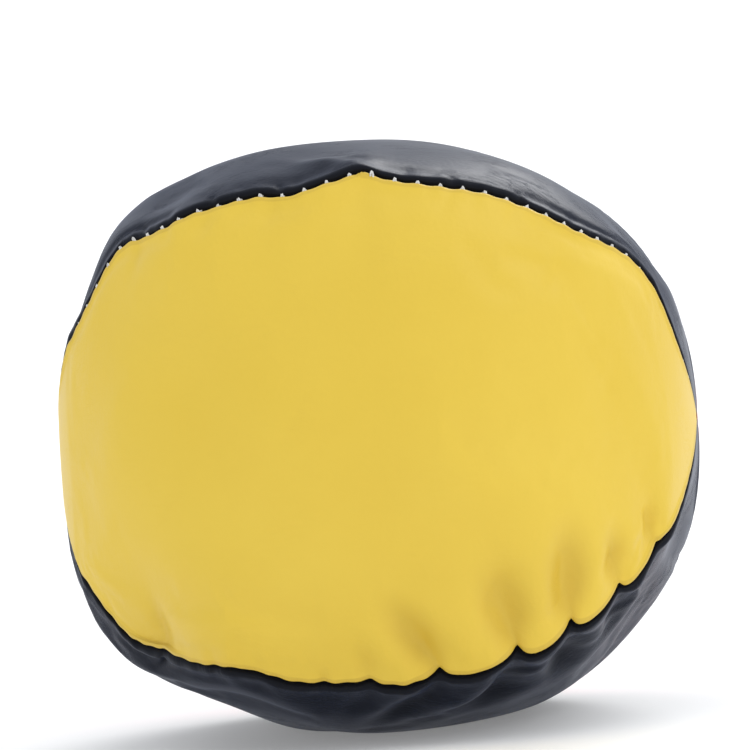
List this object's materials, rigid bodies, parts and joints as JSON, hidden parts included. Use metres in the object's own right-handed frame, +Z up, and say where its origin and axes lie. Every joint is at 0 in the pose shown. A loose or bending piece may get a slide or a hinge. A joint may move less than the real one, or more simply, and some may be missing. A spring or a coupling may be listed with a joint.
{
  "type": "juggling ball",
  "caption": "Round soft juggling ball sewn from pointed leather-look panels in yellow, black and red, filled with millet.",
  "frame": {"origin": "on the resting surface, below the middle of the ball", "axes": "+X along the pole line where the panel tips meet, -Y towards the yellow panel, +Z up"},
  "size_m": [0.065, 0.061, 0.0599],
  "materials": {
    "yellow_leather": "satin yellow synthetic leather with a very fine grain",
    "red_leather": "satin red synthetic leather with a very fine grain",
    "black_leather": "semi-gloss blue-black synthetic leather with fine creases",
    "sewing_thread": "off-white twisted polyester sewing thread",
    "millet": "smooth golden millet grain"
  },
  "bodies": {
    "root": {"yellow_panel": "yellow_leather", "lower_black_panel": "black_leather", "red_panel": "red_leather", "upper_black_panel": "black_leather", "front_lower_needle_thread": "sewing_thread", "back_lower_needle_thread": "sewing_thread", "back_upper_needle_thread": "sewing_thread", "front_upper_needle_thread": "sewing_thread", "front_lower_bobbin_thread": "sewing_thread", "back_lower_bobbin_thread": "sewing_thread", "back_upper_bobbin_thread": "sewing_thread", "front_upper_bobbin_thread": "sewing_thread", "closing_thread": "sewing_thread", "millet_fill": "millet"}
  },
  "joints": []
}
